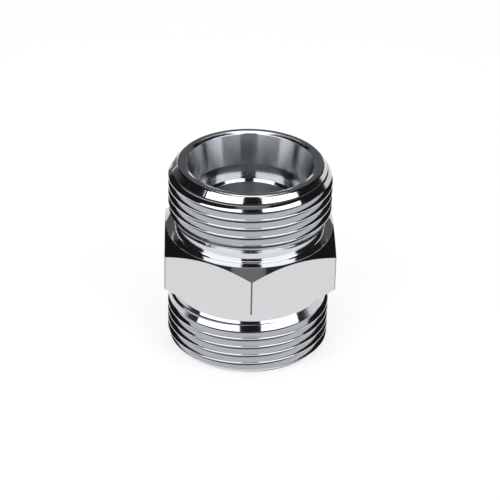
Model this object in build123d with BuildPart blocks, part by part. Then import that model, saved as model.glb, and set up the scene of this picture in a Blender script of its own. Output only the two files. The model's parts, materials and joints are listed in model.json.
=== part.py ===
"""Straight adapter for metal tube, turned from one piece of hexagon bar.

Both ends are the same: a 24 degree cone and a socket for an 18 mm tube inside, a
metric fine thread for the union nut outside, an undercut behind the thread, and a
hexagon for the spanner in the middle.  The adapter stands on its lower end face,
its axis is Z, and the origin is the centre of that face.  All lengths are in
millimetres.
"""

import os
from math import ceil, radians, sqrt, tan

from build123d import *

# Driving dimensions
overall_length = 31.6

# Spanner hexagon, with a corner towards -Y
across_flats = 27.0
hex_height = 8.5
hex_chamfer_angle = 30.0
hex_face_diameter = 26.4

# Outside thread, the same on both ends
thread_diameter = 26.0
thread_pitch = 1.5
thread_flank_angle = 30.0
thread_depth_share = 0.6134
upper_groove_height = 28.95
lower_groove_height = 6.03
groove_height_angle = -92.15

# Lead-in at the end of the thread
end_face_diameter = 23.0
lead_length = 1.8

# Undercut between the thread and the hexagon
undercut_diameter = 23.7
undercut_width = 3.8
undercut_slope_angle = 30.0
undercut_corner_break = 0.35

# Inside of each end
cone_mouth_diameter = 20.3
cone_angle = 24.0
lip_chamfer = 0.45
tube_diameter = 18.0
socket_depth = 7.2
bore_diameter = 15.0
bore_chamfer = 0.42

# Values that follow from the driving dimensions
half_length = overall_length / 2
thread_radius = thread_diameter / 2
thread_depth = thread_depth_share * thread_pitch
root_radius = thread_radius - thread_depth
undercut_radius = undercut_diameter / 2
slope_length = (thread_radius - undercut_radius) / tan(radians(undercut_slope_angle))
cone_depth = (cone_mouth_diameter - tube_diameter) / 2 / tan(radians(cone_angle / 2))
hex_face_radius = hex_face_diameter / 2
hex_corner_radius = across_flats / sqrt(3)
hex_chamfer_drop = (hex_corner_radius - hex_face_radius) * tan(radians(hex_chamfer_angle))

# The thread's cutter stands proud of the crest by this much, and the hexagon's
# envelope stands proud of its corners by as much
proud = 0.1


def groove_width(radius):
    """Width of the thread's groove at a radius, from the metric thread's basic form."""
    at_crest = thread_pitch * 7 / 8
    return at_crest + 2 * (radius - thread_radius) * tan(radians(thread_flank_angle))


def half_outline(*points):
    """Half section above mid height, from the axis out and back, mirrored below it."""
    with BuildLine() as outline:
        Polyline(*points, close=True)
    make_face(outline.edges())
    mirror(about=Plane.XZ.offset(-half_length))


# One turn of the thread's groove, a flat-bottomed V that follows a right-hand helix
with BuildPart() as groove_turn:
    with BuildLine():
        Helix(thread_pitch, thread_pitch, root_radius)
    with BuildSketch(Plane.XZ):
        root_half = groove_width(root_radius) / 2
        outer_half = groove_width(thread_radius + proud) / 2
        with BuildLine():
            Polyline(
                (root_radius, -root_half),
                (thread_radius + proud, -outer_half),
                (thread_radius + proud, outer_half),
                (root_radius, root_half),
                close=True,
            )
        make_face()
    sweep(is_frenet=True)

with BuildPart() as adapter_body:
    # Hexagon bar between the two faces that the undercuts leave
    hex_low = half_length - hex_height / 2
    hex_high = half_length + hex_height / 2
    with BuildSketch(Plane.XY.offset(hex_low)):
        RegularPolygon(hex_corner_radius, 6, rotation=30)
    extrude(amount=hex_height)

    # The corners are turned off at 30 degrees, above and below
    corner_reach = hex_corner_radius + proud
    corner_drop = hex_chamfer_drop + proud * tan(radians(hex_chamfer_angle))
    with BuildSketch(Plane.XZ):
        half_outline(
            (0, half_length),
            (corner_reach, half_length),
            (corner_reach, hex_high - corner_drop),
            (hex_face_radius, hex_high),
            (0, hex_high),
        )
    revolve(axis=Axis.Z, mode=Mode.INTERSECT)

    # Turned ends: undercut with its slope, thread blank, lead-in and end face
    undercut_high = hex_high + undercut_width
    with BuildSketch(Plane.XZ):
        half_outline(
            (0, half_length),
            (undercut_radius + undercut_corner_break, half_length),
            (undercut_radius + undercut_corner_break, hex_high),
            (undercut_radius, hex_high + undercut_corner_break),
            (undercut_radius, undercut_high - slope_length),
            (thread_radius, undercut_high),
            (thread_radius, overall_length - lead_length),
            (end_face_diameter / 2, overall_length),
            (0, overall_length),
        )
    revolve(axis=Axis.Z)

    # Inside: lip, cone, tube socket, shoulder and through bore
    socket_floor = overall_length - socket_depth
    tube_radius = tube_diameter / 2
    bore_radius = bore_diameter / 2
    mouth_radius = cone_mouth_diameter / 2
    lip_low_radius = mouth_radius - lip_chamfer * tan(radians(cone_angle / 2))
    lip_high_radius = mouth_radius + lip_chamfer
    with BuildSketch(Plane.XZ):
        half_outline(
            (0, half_length),
            (bore_radius, half_length),
            (bore_radius, socket_floor - bore_chamfer),
            (bore_radius + bore_chamfer, socket_floor),
            (tube_radius, socket_floor),
            (tube_radius, overall_length - cone_depth),
            (lip_low_radius, overall_length - lip_chamfer),
            (lip_high_radius, overall_length),
            (lip_high_radius, overall_length + proud),
            (0, overall_length + proud),
        )
    revolve(axis=Axis.Z, mode=Mode.SUBTRACT)

    # Thread grooves: whole turns, from the air in the undercut to the air beyond the
    # end face
    groove_end = thread_pitch * 0.6
    groove_length = overall_length + thread_pitch - (hex_high + groove_end)
    groove_turns = ceil(groove_length / thread_pitch)
    upper_start = hex_high + groove_end
    lower_start = hex_low - groove_end - groove_turns * thread_pitch
    for start, known_height in [
        (upper_start, upper_groove_height),
        (lower_start, lower_groove_height),
    ]:
        angle = groove_height_angle + 360 * (start - known_height) / thread_pitch
        with Locations(
            *[
                Location((0, 0, start + turn * thread_pitch), (0, 0, angle))
                for turn in range(groove_turns)
            ]
        ):
            add(groove_turn.part, mode=Mode.SUBTRACT)

adapter_body.part.label = "adapter_body"

os.makedirs("parts", exist_ok=True)
export_step(adapter_body.part, "parts/adapter_body.step")

print(f"cone depth {cone_depth:.2f}, thread root radius {root_radius:.2f}")
print(f"volume {adapter_body.part.volume:.1f} mm3, solids {len(adapter_body.part.solids())}")
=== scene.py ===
# %% [markdown]
# Straight adapter for metal tube, dressed for the picture.
#
# The real adapter is one piece of hexagon bar. A lathe turns both ends, bores it through,
# cuts a 24 degree cone into each mouth and a fine thread on each end, and then it is bright
# zinc plated. So the whole look is shape, fine turning marks and what the metal mirrors.
# The CAD model is true in shape, but its edges are sharp and its curves have flat facets,
# which a mirror finish shows. This script makes the same piece again, in the same way as
# the workshop does: turn a blank, keep what lies inside the hexagon bar, cut the threads.

# %% Load the frame
import json
import math

import bpy
from mathutils import Matrix, Vector

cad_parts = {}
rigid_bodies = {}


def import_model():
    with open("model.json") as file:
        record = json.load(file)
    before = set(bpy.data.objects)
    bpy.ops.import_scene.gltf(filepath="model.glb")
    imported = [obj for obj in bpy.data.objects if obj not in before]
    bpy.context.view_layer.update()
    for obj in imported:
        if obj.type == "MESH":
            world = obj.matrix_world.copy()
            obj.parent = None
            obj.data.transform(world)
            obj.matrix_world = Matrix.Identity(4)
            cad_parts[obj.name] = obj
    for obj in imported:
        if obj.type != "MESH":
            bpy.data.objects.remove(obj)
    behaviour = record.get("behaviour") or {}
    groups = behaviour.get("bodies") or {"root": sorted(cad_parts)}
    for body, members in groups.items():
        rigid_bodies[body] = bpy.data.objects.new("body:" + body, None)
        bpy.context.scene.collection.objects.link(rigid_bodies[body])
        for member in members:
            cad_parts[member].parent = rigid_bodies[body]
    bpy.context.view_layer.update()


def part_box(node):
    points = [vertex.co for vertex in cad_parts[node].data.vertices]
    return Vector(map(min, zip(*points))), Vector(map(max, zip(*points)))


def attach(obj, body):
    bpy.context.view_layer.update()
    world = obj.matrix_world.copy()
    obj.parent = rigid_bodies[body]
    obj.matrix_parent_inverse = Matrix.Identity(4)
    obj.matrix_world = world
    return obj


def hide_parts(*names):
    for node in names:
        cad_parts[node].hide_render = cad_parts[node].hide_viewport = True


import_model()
cad_low, cad_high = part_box("adapter_body")
print("CAD box from", cad_low, "to", cad_high)

# %% [markdown]
# Sizes. The drawing of such an adapter gives them in millimetres, so they are written so
# here, and one factor turns them to Blender's metres. The length and the width across the
# flats come from the frame. Inside, both ends are alike. Outside, the lower one has a wider
# undercut and a shorter lead-in.

# %% Sizes in millimetres
MM = 0.001
same_place = 0.001
length = (cad_high.z - cad_low.z) / MM
middle = length / 2

across_flats = (cad_high.x - cad_low.x) / MM
corner_radius = across_flats / math.sqrt(3)
hex_height = 8.5
hex_face_radius = 13.2
hex_chamfer = math.radians(30)
hex_edge_break = 0.1

crest_radius = 13.0
pitch = 1.5
root_radius = 12.08
flank = math.radians(30)
crest_break = 0.05

undercut_radius = 11.85
undercut_slope = math.radians(30)
upper_undercut_width = 3.8
upper_undercut_fillet = 0.21
lower_undercut_width = 4.1
lower_undercut_fillet = 0.05

upper_lead_length = 2.05
upper_end_radius = 11.5
lower_lead_length = 1.2
lower_end_radius = 12.0

lip_radius = 10.6
lip_drop = 0.25
mouth_radius = 10.04
cone_half_angle = math.radians(12)
tube_radius = 9.0
socket_depth = 7.2
bore_radius = 7.5
bore_chamfer = 0.42

print("length", round(length, 3), "across flats", round(across_flats, 3))

# %% [markdown]
# The camera stands where the photographer's did: 30 degrees above the table, a third of a
# metre away, almost square to a corner of the hexagon, and tilted by a little over one
# degree, so that the adapter leans to the right. A long lens keeps the verticals nearly
# parallel. The place was found by fitting the hexagon, the end ring and the thread lines.

# %% Camera
camera_bearing = math.radians(-92.15)
camera_height = math.radians(30.09)
camera_distance = 346.1 * MM
camera_tilt = math.radians(1.33)
pixel_focal_length = 2153.5
picture_width = 500
sensor_width = 36
aim = Vector((0, 0, 15.5 * MM))

towards_camera = Vector((
    math.cos(camera_bearing) * math.cos(camera_height),
    math.sin(camera_bearing) * math.cos(camera_height),
    math.sin(camera_height),
))
bpy.ops.object.camera_add(location=aim + towards_camera * camera_distance)
camera = bpy.context.object
camera.name = "camera"
camera.data.sensor_width = sensor_width
camera.data.lens = sensor_width * pixel_focal_length / picture_width
camera.data.clip_start = 0.01
facing = towards_camera.to_track_quat("Z", "Y").to_matrix().to_4x4()
right = facing.col[0].to_3d()
up = facing.col[1].to_3d()

# The picture's middle lies a pixel to the right of the aim and a quarter above it
pixels_right = 1.11
pixels_up = 0.25
pixel = camera_distance / pixel_focal_length
camera.location += (right * pixels_right + up * pixels_up) * pixel
tilted = facing @ Matrix.Rotation(camera_tilt, 4, "Z")
camera.matrix_world = Matrix.Translation(camera.location) @ tilted
bpy.context.scene.camera = camera
bpy.context.scene.view_settings.view_transform = "Standard"
print("camera at", tuple(round(c / MM, 1) for c in camera.location), "mm")

# %% [markdown]
# Two small helpers that every step needs: one turns a written sRGB colour to the linear
# values that the shaders work with, the other adds a shader node with its settings and
# links. An input that is given as a socket is linked, anything else is set.

# %% Colour and node helpers
def colour(hex_code):
    """Linear red, green, blue and alpha from an sRGB colour such as D0D2D6."""
    parts = [int(hex_code[i:i + 2], 16) / 255 for i in (0, 2, 4)]
    linear = [c / 12.92 if c <= 0.04045 else ((c + 0.055) / 1.055) ** 2.4 for c in parts]
    return (*linear, 1.0)


def add_node(tree, kind, inputs=None, **settings):
    """A new node of this kind, with its settings made and its inputs set or linked."""
    node = tree.nodes.new(kind)
    for name, value in settings.items():
        setattr(node, name, value)
    for name, value in (inputs or {}).items():
        if isinstance(value, bpy.types.NodeSocket):
            tree.links.new(value, node.inputs[name])
        else:
            node.inputs[name].default_value = value
    return node


def new_material(name):
    """An empty node material and its tree."""
    material = bpy.data.materials.new(name)
    material.use_nodes = True
    material.node_tree.nodes.clear()
    return material, material.node_tree


# %% [markdown]
# The studio. Bright metal has hardly a colour of its own: it shows the room. The picture
# shows two large soft boxes, left and right of the camera, from just above the table to
# high up, with a dark gap between them where the camera stands. A third box stands high
# behind the adapter, with a dim wall under it, and the rest is a dark room with a slightly
# lighter ceiling and a white table all round. Each of these is a patch of a globe, so that
# its edges stay upright in the turned metal: an arc is drawn from its lowest to its highest
# point and spun about the upright axis.

# %% Patches of a globe for the soft boxes and the dark room
studio_radius = 0.6
box_distance = studio_radius * 0.9
lamp_distance = studio_radius * 0.92
wall_distance = studio_radius * 0.95
arc_steps = 16
patch_steps = 32
seam = MM * 0.1


def from_angles(bearing, height, distance):
    """The point that lies this far away, at a bearing from the camera's and a height."""
    turn = camera_bearing + bearing
    flat = math.cos(height) * distance
    return Vector((math.cos(turn) * flat, math.sin(turn) * flat, math.sin(height) * distance))


def leave_nothing_selected():
    """The operators act on all that is selected, so each step starts from nothing."""
    bpy.ops.object.select_all(action="DESELECT")


def start_point(name):
    """A new object of one vertex at the origin, selected in edit mode."""
    leave_nothing_selected()
    bpy.ops.mesh.primitive_plane_add(size=MM, location=(0, 0, 0))
    piece = bpy.context.object
    piece.name = name
    piece.data.name = name
    bpy.ops.object.mode_set(mode="EDIT")
    bpy.ops.mesh.merge(type="CENTER")
    return piece


def draw_on(points):
    """Moves the one vertex to the first point and extrudes it along the others."""
    bpy.ops.transform.translate(value=points[0])
    for here, there in zip(points, points[1:]):
        bpy.ops.mesh.extrude_region_move(TRANSFORM_OT_translate={"value": there - here})


def globe_patch(name, bearings, heights, distance, material):
    """Part of a globe between two bearings and two heights, in degrees, unseen by the camera."""
    bearing_low, bearing_high = (math.radians(b) for b in bearings)
    height_low, height_high = (math.radians(h) for h in heights)
    arc = [
        from_angles(bearing_high, height_low + (height_high - height_low) * i / arc_steps, distance)
        for i in range(arc_steps + 1)
    ]
    patch = start_point(name)
    draw_on(arc)
    bpy.ops.mesh.select_all(action="SELECT")
    bpy.ops.mesh.spin(
        steps=patch_steps, angle=bearing_high - bearing_low, center=(0, 0, 0), axis=(0, 0, 1)
    )
    bpy.ops.mesh.select_all(action="SELECT")
    bpy.ops.mesh.remove_doubles(threshold=seam)
    bpy.ops.object.mode_set(mode="OBJECT")
    bpy.ops.object.shade_smooth()
    patch.data.materials.append(material)
    patch.visible_camera = False
    return patch


def glow(name, strength):
    """White light at this strength."""
    material, tree = new_material(name)
    light = add_node(tree, "ShaderNodeEmission", {"Color": colour("FFFFFF"), "Strength": strength})
    add_node(tree, "ShaderNodeOutputMaterial", {"Surface": light.outputs[0]})
    return material


soft_box_light = glow("soft box", 2.2)
globe_patch("soft_box_left", (-73, -11.2), (9, 68), box_distance, soft_box_light)
globe_patch("soft_box_right", (20, 76), (9, 68), box_distance, soft_box_light)
globe_patch("soft_box_back", (155, 205), (46, 74), box_distance, soft_box_light)
globe_patch("dim_wall", (150, 210), (10, 42), wall_distance, glow("dim wall", 0.12))
globe_patch("dim_ceiling", (0, 360), (80, 90), wall_distance, glow("dim ceiling", 0.2))
globe_patch("dark_room", (0, 360), (8, 90), studio_radius, glow("dark room", 0.012))

# This one lights the table alone: the metal doesn't mirror it
table_lamp = globe_patch("table_lamp", (0, 360), (70, 89), lamp_distance, glow("table lamp", 4.5))
table_lamp.visible_glossy = False
print("two soft boxes in front, one behind, and a dark room over them")

# %% [markdown]
# The table is white and turns up into a low wall, as a paper sweep does. In the picture it
# is burnt out to pure white with hardly a shadow. Part of its white is therefore painted in
# for the rays that come from the camera and from mirroring metal, and the rest is lit
# paper, which keeps a soft shadow.

# %% Table and background
painted_share = 0.7
table_material, table_tree = new_material("white paper sweep")
paper = add_node(table_tree, "ShaderNodeBsdfDiffuse", {"Color": colour("F4F4F4")})
white = add_node(table_tree, "ShaderNodeEmission", {"Color": colour("FFFFFF"), "Strength": 1.0})
ray = add_node(table_tree, "ShaderNodeLightPath")
camera_or_mirror = add_node(
    table_tree, "ShaderNodeMath",
    {0: ray.outputs["Is Camera Ray"], 1: ray.outputs["Is Glossy Ray"]}, operation="MAXIMUM",
)
camera_mirror_or_glass = add_node(
    table_tree, "ShaderNodeMath",
    {0: camera_or_mirror.outputs[0], 1: ray.outputs["Is Transmission Ray"]}, operation="MAXIMUM",
)
share = add_node(
    table_tree, "ShaderNodeMath",
    {0: camera_mirror_or_glass.outputs[0], 1: painted_share}, operation="MULTIPLY",
)
mixed = add_node(
    table_tree, "ShaderNodeMixShader",
    {"Fac": share.outputs[0], 1: paper.outputs[0], 2: white.outputs[0]},
)
add_node(table_tree, "ShaderNodeOutputMaterial", {"Surface": mixed.outputs[0]})

wall_top = math.radians(12)
wall_height = studio_radius * math.sin(wall_top)
table = start_point("table")
draw_on([
    Vector((0, 0, 0)),
    Vector((studio_radius * 0.75, 0, 0)),
    Vector((studio_radius * 0.9, 0, wall_height * 0.15)),
    Vector((studio_radius * 0.97, 0, wall_height * 0.5)),
    Vector((studio_radius * 0.98, 0, wall_height)),
])
bpy.ops.mesh.select_all(action="SELECT")
bpy.ops.mesh.spin(steps=64, angle=math.tau, center=(0, 0, 0), axis=(0, 0, 1))
bpy.ops.mesh.select_all(action="SELECT")
bpy.ops.mesh.remove_doubles(threshold=seam)
bpy.ops.mesh.normals_make_consistent(inside=False)
bpy.ops.object.mode_set(mode="OBJECT")
bpy.ops.object.shade_smooth()
table.data.materials.append(table_material)

world = bpy.data.worlds.new("white background")
bpy.context.scene.world = world
world.use_nodes = True
world.node_tree.nodes.clear()
backdrop = add_node(
    world.node_tree, "ShaderNodeBackground", {"Color": colour("FFFFFF"), "Strength": 1.0}
)
add_node(world.node_tree, "ShaderNodeOutputWorld", {"Surface": backdrop.outputs[0]})
print("white table and white background")

# %% [markdown]
# Bright zinc plate on turned steel: a clean, slightly bluish grey metal. The tool leaves
# fine rings. Round the axis the surface mirrors sharply, along it the rings smear the
# mirrored picture, so a soft box keeps sharp upright edges and blurred level ones. The
# rings are a noise whose pattern runs with the radius and the height and hardly at all
# round the axis. Real ones are 0.05 to 0.1 mm apart, here they are drawn 0.2 to 0.3 mm
# apart, about what one pixel can show. The cone and the bore are rougher than the outside.
# At the bottom of the thread the plate is rough and painted dark: painted shade for the groove.

# %% Plated steel with turning marks
def ring_pattern(tree, spacing, wander):
    """Noise in rings round the axis. It wanders by this much once round."""
    place = add_node(tree, "ShaderNodeTexCoord")
    axes = add_node(tree, "ShaderNodeSeparateXYZ", {0: place.outputs["Object"]})
    flat = add_node(
        tree, "ShaderNodeCombineXYZ", {"X": axes.outputs["X"], "Y": axes.outputs["Y"]}
    )
    radius = add_node(tree, "ShaderNodeVectorMath", {0: flat.outputs[0]}, operation="LENGTH")
    bearing = add_node(tree, "ShaderNodeVectorMath", {0: flat.outputs[0]}, operation="NORMALIZE")
    turn = add_node(tree, "ShaderNodeSeparateXYZ", {0: bearing.outputs[0]})
    per_metre = 1 / (spacing * MM)
    scaled = [
        add_node(tree, "ShaderNodeMath", {0: socket, 1: factor}, operation="MULTIPLY").outputs[0]
        for socket, factor in (
            (radius.outputs["Value"], per_metre),
            (axes.outputs["Z"], per_metre),
            (turn.outputs["X"], wander),
            (turn.outputs["Y"], wander),
        )
    ]
    point = add_node(tree, "ShaderNodeCombineXYZ", {"X": scaled[0], "Y": scaled[1], "Z": scaled[2]})
    return add_node(
        tree, "ShaderNodeTexNoise",
        {"Vector": point.outputs[0], "W": scaled[3], "Scale": 1.0, "Detail": 2.0, "Roughness": 0.6},
        noise_dimensions="4D",
    ).outputs["Fac"]


def plated_steel(name, base, roughness, smear, spacing, wander, depth):
    """Metal with rings of this spacing and depth in millimetres, which smear what it mirrors."""
    material, tree = new_material(name)
    round_axis = add_node(tree, "ShaderNodeTangent", direction_type="RADIAL", axis="Z")
    rings = ring_pattern(tree, spacing, wander)
    relief = add_node(
        tree, "ShaderNodeBump", {"Height": rings, "Strength": 1.0, "Distance": depth * MM}
    )
    # The tangent runs round the axis, and a quarter turn lays the smear along it
    steel = add_node(
        tree, "ShaderNodeBsdfPrincipled",
        {
            "Base Color": colour(base),
            "Metallic": 1.0,
            "Roughness": roughness,
            "Anisotropic": smear,
            "Anisotropic Rotation": 0.25,
            "Tangent": round_axis.outputs[0],
            "Normal": relief.outputs[0],
        },
    )
    add_node(tree, "ShaderNodeOutputMaterial", {"Surface": steel.outputs[0]})
    return material


turned = plated_steel(
    "bright zinc plate on turned steel", "D0D2D5",
    roughness=0.1, smear=0.7, spacing=0.22, wander=0.6, depth=0.0006,
)
threaded = plated_steel(
    "bright zinc plate on cut thread", "D0D2D5",
    roughness=0.1, smear=0.3, spacing=0.3, wander=1.5, depth=0.0004,
)
# Painted shade: a dark base colour for the thread's root, standing for the shadow in the groove
root = plated_steel(
    "zinc plate with painted shade in the thread root", "3C3E42",
    roughness=0.4, smear=0.0, spacing=0.3, wander=1.5, depth=0.0004,
)
reamed = plated_steel(
    "bright zinc plate on bored cone", "C4C7CB",
    roughness=0.18, smear=0.95, spacing=0.25, wander=0.6, depth=0.0015,
)
bored = plated_steel(
    "bright zinc plate on bored steel", "9A9DA2",
    roughness=0.3, smear=1.0, spacing=0.3, wander=0.8, depth=0.006,
)
print("materials for turned, threaded and bored steel")

# %% [markdown]
# The six flats are not turned. They keep the skin of the drawn bar: smooth, a little duller
# than the turned faces, with faint lines along the bar. So the pattern is a noise that is
# fine across the bar and long along it. A thin dark line is painted along each corner of
# the bar: a painted dark reflection for what these edges mirror.

# %% Plated steel of the drawn bar
bar_line_width = 0.25
bar_line_length = 2.0
bar_line_depth = 0.002
# Where the painted dark reflection along the bar's corners begins and where it is full
painted_dark_edge_from = corner_radius - 0.09
painted_dark_edge_full = corner_radius - 0.05

drawn, drawn_tree = new_material("bright zinc plate on drawn bar")
bar_place = add_node(drawn_tree, "ShaderNodeTexCoord")
across_bar = 1 / (bar_line_width * MM)
along_bar = 1 / (bar_line_length * MM)
bar_lines = add_node(
    drawn_tree, "ShaderNodeMapping",
    {"Vector": bar_place.outputs["Object"], "Scale": (across_bar, across_bar, along_bar)},
)
bar_noise = add_node(
    drawn_tree, "ShaderNodeTexNoise",
    {"Vector": bar_lines.outputs[0], "Scale": 1.0, "Detail": 3.0, "Roughness": 0.6},
)
bar_relief = add_node(
    drawn_tree, "ShaderNodeBump",
    {"Height": bar_noise.outputs["Fac"], "Strength": 1.0, "Distance": bar_line_depth * MM},
)
bar_axes = add_node(drawn_tree, "ShaderNodeSeparateXYZ", {0: bar_place.outputs["Object"]})
bar_flat = add_node(
    drawn_tree, "ShaderNodeCombineXYZ", {"X": bar_axes.outputs["X"], "Y": bar_axes.outputs["Y"]}
)
bar_radius = add_node(
    drawn_tree, "ShaderNodeVectorMath", {0: bar_flat.outputs[0]}, operation="LENGTH"
)
# Near the corners the colour darkens: a painted dark reflection along the bar's edges
painted_dark_edge = add_node(
    drawn_tree, "ShaderNodeMapRange",
    {
        "Value": bar_radius.outputs["Value"],
        "From Min": painted_dark_edge_from * MM,
        "From Max": painted_dark_edge_full * MM,
    },
)
# Inputs 6 and 7 of this node are its two colours
bar_colour = add_node(
    drawn_tree, "ShaderNodeMix",
    {"Factor": painted_dark_edge.outputs[0], 6: colour("D0D1D2"), 7: colour("606368")},
    data_type="RGBA",
)
bar_steel = add_node(
    drawn_tree, "ShaderNodeBsdfPrincipled",
    {
        "Base Color": bar_colour.outputs[2],
        "Metallic": 1.0,
        "Roughness": 0.26,
        "Normal": bar_relief.outputs[0],
    },
)
add_node(drawn_tree, "ShaderNodeOutputMaterial", {"Surface": bar_steel.outputs[0]})
print("material for the drawn flats")

# %% [markdown]
# The blank. A turned form is one outline spun about its axis. The outline runs down the
# outside of the upper end to the hexagon, and down the inside to the bore, and comes back
# the same way on the lower end, so the blank is bored and closed, with no pole on the axis.
# Each corner carries the size of its break: the lathe and the barrel that the parts tumble
# in leave no truly sharp edge, and it is these small rounds that catch the light. They are
# made on the outline's own corners, before it is spun.

# %% Outline of the turned blank
clear_of_bar = 0.3
envelope_radius = corner_radius + clear_of_bar
hex_depth = (length - hex_height) / 2
slope_length = (crest_radius - undercut_radius) / math.tan(undercut_slope)
cone_depth = (mouth_radius - tube_radius) / math.tan(cone_half_angle)


def outside(end_radius, lead_length, undercut_width, undercut_fillet):
    """The outside of one end: radius, depth from the end face and break of each corner."""
    undercut_end = hex_depth - undercut_width
    chamfer_height = (envelope_radius - hex_face_radius) * math.tan(hex_chamfer)
    return [
        (envelope_radius, hex_depth + chamfer_height, 0),
        (hex_face_radius, hex_depth, 0.08),
        (undercut_radius, hex_depth, 0.3),
        (undercut_radius, undercut_end + slope_length, undercut_fillet),
        (crest_radius, undercut_end, 0.03),
        (crest_radius, lead_length, 0.03),
        (end_radius, 0, 0.25),
    ]


# Inside, both ends are alike
inside = [
    (lip_radius, 0, 0.06),
    (mouth_radius, lip_drop, 0.05),
    (tube_radius, lip_drop + cone_depth, 0),
    (tube_radius, socket_depth, 0.1),
    (bore_radius + bore_chamfer, socket_depth, 0.05),
    (bore_radius, socket_depth + bore_chamfer, 0.05),
]
upper_outside = outside(
    upper_end_radius, upper_lead_length, upper_undercut_width, upper_undercut_fillet
)
lower_outside = outside(
    lower_end_radius, lower_lead_length, lower_undercut_width, lower_undercut_fillet
)
upper_end = [(r, length - depth, size) for r, depth, size in upper_outside + inside]
lower_end = (lower_outside + inside)[::-1]
outline = upper_end + lower_end
print(len(outline), "corners in the blank's outline")

# %% Spin the blank
turning_steps = 240

blank = start_point("adapter")
draw_on([Vector((r * MM, 0, z * MM)) for r, z, size in outline])
bpy.ops.mesh.select_all(action="SELECT")
bpy.ops.mesh.edge_face_add()
bpy.ops.mesh.delete(type="ONLY_FACE")


def select_corners(piece, corners):
    """Selects the vertices that lie at these places, in edit mode."""
    bpy.ops.mesh.select_all(action="DESELECT")
    bpy.ops.object.mode_set(mode="OBJECT")
    for vertex in piece.data.vertices:
        vertex.select = any((vertex.co - place).length < same_place * MM for place in corners)
    bpy.ops.object.mode_set(mode="EDIT")


for break_size in sorted({size for r, z, size in outline if size}):
    corners = [Vector((r * MM, 0, z * MM)) for r, z, size in outline if size == break_size]
    select_corners(blank, corners)
    bpy.ops.mesh.bevel(affect="VERTICES", offset=break_size * MM, segments=4, clamp_overlap=False)

bpy.ops.mesh.select_all(action="SELECT")
bpy.ops.mesh.spin(steps=turning_steps, angle=math.tau, center=(0, 0, 0), axis=(0, 0, 1))
bpy.ops.mesh.select_all(action="SELECT")
bpy.ops.mesh.remove_doubles(threshold=same_place * MM)
bpy.ops.mesh.normals_make_consistent(inside=False)
bpy.ops.object.mode_set(mode="OBJECT")
blank.data.materials.append(turned)
print("blank:", len(blank.data.polygons), "faces")

# %% [markdown]
# The hexagon bar is a cylinder of six sides. Its long edges are broken a little, as drawn
# bar comes from the mill. What lies inside both the bar and the blank is the body, just as
# the lathe leaves it, and the curved upper and lower edges of the flats come by themselves.

# %% Keep what lies inside the hexagon bar
bar_length = length + 4
leave_nothing_selected()
bpy.ops.mesh.primitive_cylinder_add(
    vertices=6,
    radius=corner_radius * MM,
    depth=bar_length * MM,
    location=(0, 0, middle * MM),
)
bar = bpy.context.object
bar.name = "hexagon_bar"
bpy.ops.object.transform_apply(location=True, rotation=True, scale=True)
bpy.ops.object.mode_set(mode="EDIT")
bpy.ops.mesh.select_all(action="DESELECT")
bpy.ops.object.mode_set(mode="OBJECT")
for edge in bar.data.edges:
    first, second = (bar.data.vertices[i].co for i in edge.vertices)
    edge.select = abs(first.z - second.z) > length * MM / 2
bpy.ops.object.mode_set(mode="EDIT")
bpy.ops.mesh.select_mode(type="EDGE")
bpy.ops.mesh.bevel(affect="EDGES", offset=hex_edge_break * MM, segments=3)
bpy.ops.mesh.select_mode(type="VERT")
bpy.ops.object.mode_set(mode="OBJECT")
bar.data.materials.append(drawn)


def work_with(piece, tool, how):
    """Cuts the piece with a tool, or keeps what is in both. The tool is used up."""
    leave_nothing_selected()
    bpy.context.view_layer.objects.active = piece
    piece.select_set(True)
    change = piece.modifiers.new("change", "BOOLEAN")
    change.object = tool
    change.operation = how
    change.solver = "EXACT"
    change.material_mode = "TRANSFER"
    bpy.ops.object.modifier_apply(modifier=change.name)
    bpy.data.objects.remove(tool)
    print(how.lower(), "leaves", len(piece.data.polygons), "faces")


work_with(blank, bar, "INTERSECT")

# %% [markdown]
# The threads. The tool that cuts one has the form of the groove: 60 degrees between its
# sides and a rounded nose. Near the crest its sides open a little more, which breaks the
# crest's edges. The Screw modifier carries that outline up a right-hand helix by one pitch
# each turn. Each helix runs from the free space of the undercut to beyond the end face. Its
# turn about the axis is set by the height of one groove at the camera's bearing.

# %% Thread cutters
def groove_half_width(radius):
    """Half the width of the thread's groove at a radius, as the metric thread has it."""
    return pitch * 7 / 16 + (radius - crest_radius) * math.tan(flank)


break_radius = crest_radius - crest_break
break_half = groove_half_width(break_radius)
root_half = groove_half_width(root_radius)
proud = 0.05
nose_round = 0.06
cutter_outline = [
    (root_radius, -root_half),
    (break_radius, -break_half),
    (crest_radius + proud, -break_half - crest_break - proud),
    (crest_radius + proud, break_half + crest_break + proud),
    (break_radius, break_half),
    (root_radius, root_half),
]


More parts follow.
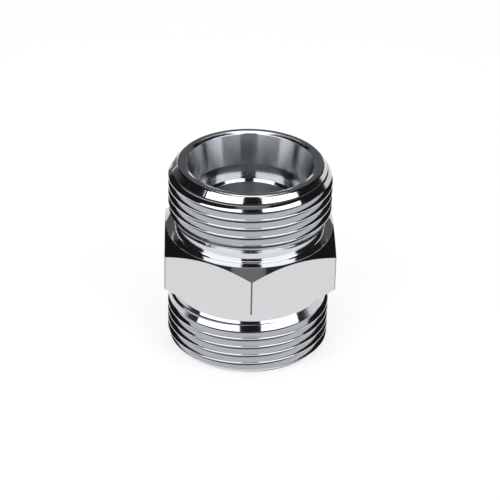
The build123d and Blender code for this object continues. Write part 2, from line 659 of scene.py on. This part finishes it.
def thread_cutter(name, groove_height, lowest, highest):
    """The groove's form along a helix that passes this height at the camera's bearing."""
    at_bearing_zero = groove_height - pitch * camera_bearing / math.tau
    start = at_bearing_zero + pitch * math.ceil((lowest - at_bearing_zero) / pitch)
    turns = (highest - start) / pitch
    cutter = start_point(name)
    points = [Vector((r * MM, 0, (start + z) * MM)) for r, z in cutter_outline]
    draw_on(points)
    bpy.ops.mesh.select_all(action="SELECT")
    bpy.ops.mesh.edge_face_add()
    bpy.ops.mesh.delete(type="ONLY_FACE")
    select_corners(cutter, [points[0], points[-1]])
    bpy.ops.mesh.bevel(affect="VERTICES", offset=nose_round * MM, segments=2)
    bpy.ops.object.mode_set(mode="OBJECT")
    steps = round(turning_steps * turns)
    screw = cutter.modifiers.new("screw", "SCREW")
    screw.axis = "Z"
    screw.angle = math.tau * steps / turning_steps
    screw.screw_offset = pitch * steps / turning_steps * MM
    screw.steps = steps
    screw.render_steps = steps
    screw.use_normal_calculate = True
    bpy.ops.object.modifier_apply(modifier=screw.name)
    bpy.ops.object.mode_set(mode="EDIT")
    bpy.ops.mesh.select_all(action="DESELECT")
    bpy.ops.mesh.select_non_manifold()
    bpy.ops.mesh.fill_holes(sides=0)
    bpy.ops.mesh.select_all(action="SELECT")
    bpy.ops.mesh.normals_make_consistent(inside=False)
    bpy.ops.object.mode_set(mode="OBJECT")
    cutter.data.materials.append(threaded)
    print(name, "starts at", round(start, 2), "mm and makes", round(steps / turning_steps, 2), "turns")
    return cutter


upper_groove = 28.95
lower_groove = 6.03
free_of_hexagon = pitch * 0.55
beyond_upper_end = pitch * 0.55
beyond_lower_end = pitch * 1.6
hex_top = length - hex_depth
upper_cutter = thread_cutter(
    "upper_cutter", upper_groove, hex_top + free_of_hexagon, length + beyond_upper_end
)
work_with(blank, upper_cutter, "DIFFERENCE")
lower_cutter = thread_cutter(
    "lower_cutter", lower_groove, -beyond_lower_end, hex_depth - free_of_hexagon
)
work_with(blank, lower_cutter, "DIFFERENCE")

# %% [markdown]
# Last touches on the body: the bore and the cone get their own finish, and the bottom of
# the thread gets painted shade, a dark rough plate that stands for the shadow in the groove.
# The curved faces are shaded smooth round the axis, where one step turns by 1.5 degrees,
# and every edge sharper than 4 degrees stays sharp: a cone then mirrors as a true cone
# right up to its edges, which a blended edge would bend. The body rides on the frame's
# root and stands for the CAD node.

# %% Finish the body
def add_finish(piece, material):
    """Gives the piece one more material and returns the number of its slot."""
    piece.data.materials.append(material)
    return len(piece.data.materials) - 1


bored_slot = add_finish(blank, bored)
reamed_slot = add_finish(blank, reamed)
painted_root_shade_slot = add_finish(blank, root)
bore_reach = bore_radius + 0.02
painted_root_shade_reach = (root_radius - 0.02, root_radius + 0.06)
for face in blank.data.polygons:
    spot = face.center / MM
    radius = math.hypot(spot.x, spot.y)
    if radius < bore_reach:
        face.material_index = bored_slot
    elif radius < mouth_radius and face.normal.z ** 2 < 0.1:
        face.material_index = reamed_slot
    # Faces at the thread's root get the dark material, which is painted shade for the groove
    elif painted_root_shade_reach[0] < radius < painted_root_shade_reach[1] and abs(face.normal.z) < 0.8:
        face.material_index = painted_root_shade_slot
leave_nothing_selected()
bpy.context.view_layer.objects.active = blank
blank.select_set(True)
sharp_from = math.radians(4)
bpy.ops.object.shade_smooth_by_angle(angle=sharp_from)
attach(blank, "root")
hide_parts("adapter_body")
triangles = sum(len(face.vertices) - 2 for face in blank.data.polygons)
print("body:", triangles, "triangles,", [m.name for m in blank.data.materials])
